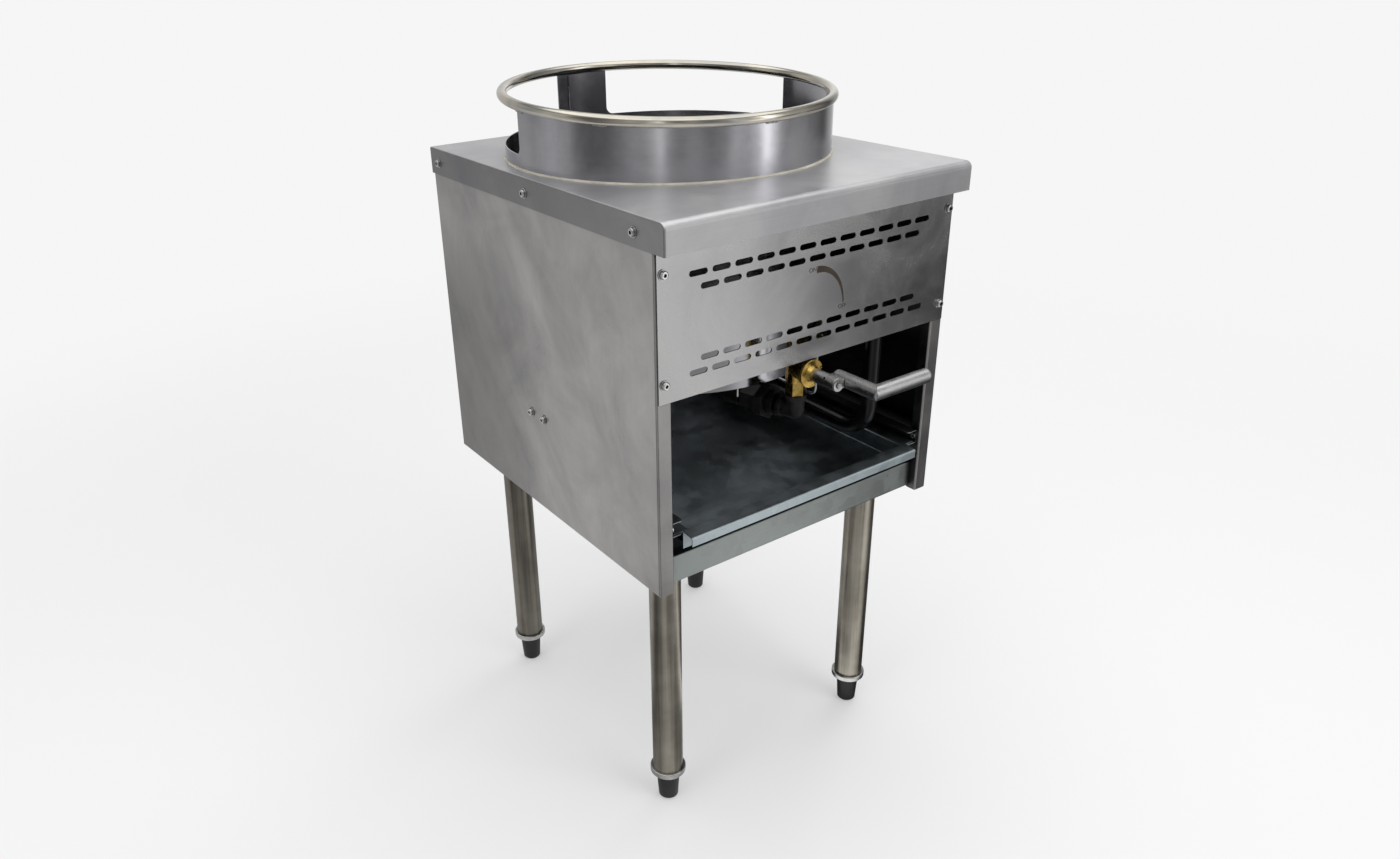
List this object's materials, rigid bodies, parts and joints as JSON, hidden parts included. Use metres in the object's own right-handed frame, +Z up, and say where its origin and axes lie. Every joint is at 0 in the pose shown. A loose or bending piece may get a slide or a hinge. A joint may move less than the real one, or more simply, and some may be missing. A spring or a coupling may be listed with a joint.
{
  "type": "wok range",
  "caption": "Free-standing gas wok range: folded stainless cabinet on tubular legs with a raised fire drum and wok ring, slotted front panel, lever gas valve and slide-out drip tray.",
  "frame": {"origin": "on the floor, under the middle of the whole range from the lever's arm in front to the gas inlet behind", "axes": "+X to the right of somebody facing the range, +Y to the back, +Z up"},
  "size_m": [0.4694, 0.6592, 0.9327],
  "materials": {
    "stainless": "brushed, mottled",
    "stainless_satin": "fine satin",
    "stainless_cover": "brushed, bright folds",
    "stainless_drum": "brushed round the drum",
    "stainless_ring": "polished, heat tinted",
    "leg_steel": "drawn tube",
    "bright_steel": "bright plated",
    "zinc": "zinc plated",
    "lever_steel": "plated, scratched",
    "galvanized": "galvanized",
    "galvanized_tray": "galvanized",
    "sealant": "heat-proof sealant",
    "foot_dark": "charcoal, satin",
    "black_steel": "black heat-proof paint",
    "cast_iron": "raw casting",
    "malleable_iron": "black malleable",
    "black_pipe": "black lacquered pipe",
    "brass": "turned",
    "brass_dark": "lapped",
    "pilot_aluminium": "drawn tube"
  },
  "bodies": {
    "cabinet": {"left_side_panel": "stainless", "right_side_panel": "stainless", "back_panel": "stainless", "front_panel": "stainless_satin", "top_cover": "stainless_cover", "front_apron": "galvanized", "rear_member": "galvanized", "fire_drum": "stainless_drum", "wok_ring": "stainless_ring", "collar_bead": "sealant", "drum_screw": "zinc", "front_panel_bolts": "zinc", "back_panel_bolts": "zinc", "cover_bolts": "zinc", "bar_bolts": "zinc", "casting_bolts": "zinc", "right_tray_rail": "galvanized", "left_tray_rail": "galvanized", "rail_screws": "zinc", "leg_front_left": "leg_steel", "leg_front_right": "leg_steel", "leg_rear_left": "leg_steel", "leg_rear_right": "leg_steel", "foot_sockets": "bright_steel", "leg_rails": "galvanized", "leg_studs": "zinc", "burner_bar": "black_steel", "burner_casting": "cast_iron", "burner_tips": "brass", "valve_elbow": "malleable_iron", "burner_elbow": "malleable_iron", "burner_nipple": "black_pipe", "manifold_elbow": "malleable_iron", "riser_elbow": "malleable_iron", "manifold_pipe": "black_pipe", "union_nipple": "black_pipe", "union_head": "malleable_iron", "union_nut": "malleable_iron", "union_tail": "malleable_iron", "close_nipple": "black_pipe", "supply_coupling": "malleable_iron", "supply_pipe": "black_pipe", "gas_pipe": "black_pipe", "reducing_coupling": "malleable_iron", "gas_inlet": "black_pipe", "valve_body": "brass", "pilot_valve": "brass", "pilot_tube": "pilot_aluminium", "pilot_burner": "bright_steel"},
    "lever": {"valve_plug": "brass_dark", "stop_disc": "brass", "lever_sleeve": "lever_steel", "lever_nut": "zinc", "lever_rod": "lever_steel"},
    "drip_tray": {"drip_tray": "galvanized_tray"},
    "pilot_screw": {"pilot_screw": "zinc"},
    "foot_front_left": {"foot_front_left": "foot_dark"},
    "foot_front_right": {"foot_front_right": "foot_dark"},
    "foot_rear_left": {"foot_rear_left": "foot_dark"},
    "foot_rear_right": {"foot_rear_right": "foot_dark"}
  },
  "joints": [
    {"name": "valve_lever", "type": "hinge", "parent": "cabinet", "child": "lever", "pos_m": [0, -0.2339, 0.617], "axis": [0, -1, 0], "range_deg": [0, 90]},
    {"name": "drip_tray_slide", "type": "slide", "parent": "cabinet", "child": "drip_tray", "axis": [0, -1, 0], "range_m": [0, 0.4]},
    {"name": "pilot_screw_turn", "type": "hinge", "parent": "cabinet", "child": "pilot_screw", "pos_m": [0.033, -0.2164, 0.65535], "axis": [0, -1, 0], "range_deg": [0, 720]},
    {"name": "foot_front_left_screw", "type": "slide", "parent": "cabinet", "child": "foot_front_left", "axis": [0, 0, -1], "range_m": [0, 0.025]},
    {"name": "foot_front_right_screw", "type": "slide", "parent": "cabinet", "child": "foot_front_right", "axis": [0, 0, -1], "range_m": [0, 0.025]},
    {"name": "foot_rear_left_screw", "type": "slide", "parent": "cabinet", "child": "foot_rear_left", "axis": [0, 0, -1], "range_m": [0, 0.025]},
    {"name": "foot_rear_right_screw", "type": "slide", "parent": "cabinet", "child": "foot_rear_right", "axis": [0, 0, -1], "range_m": [0, 0.025]}
  ]
}
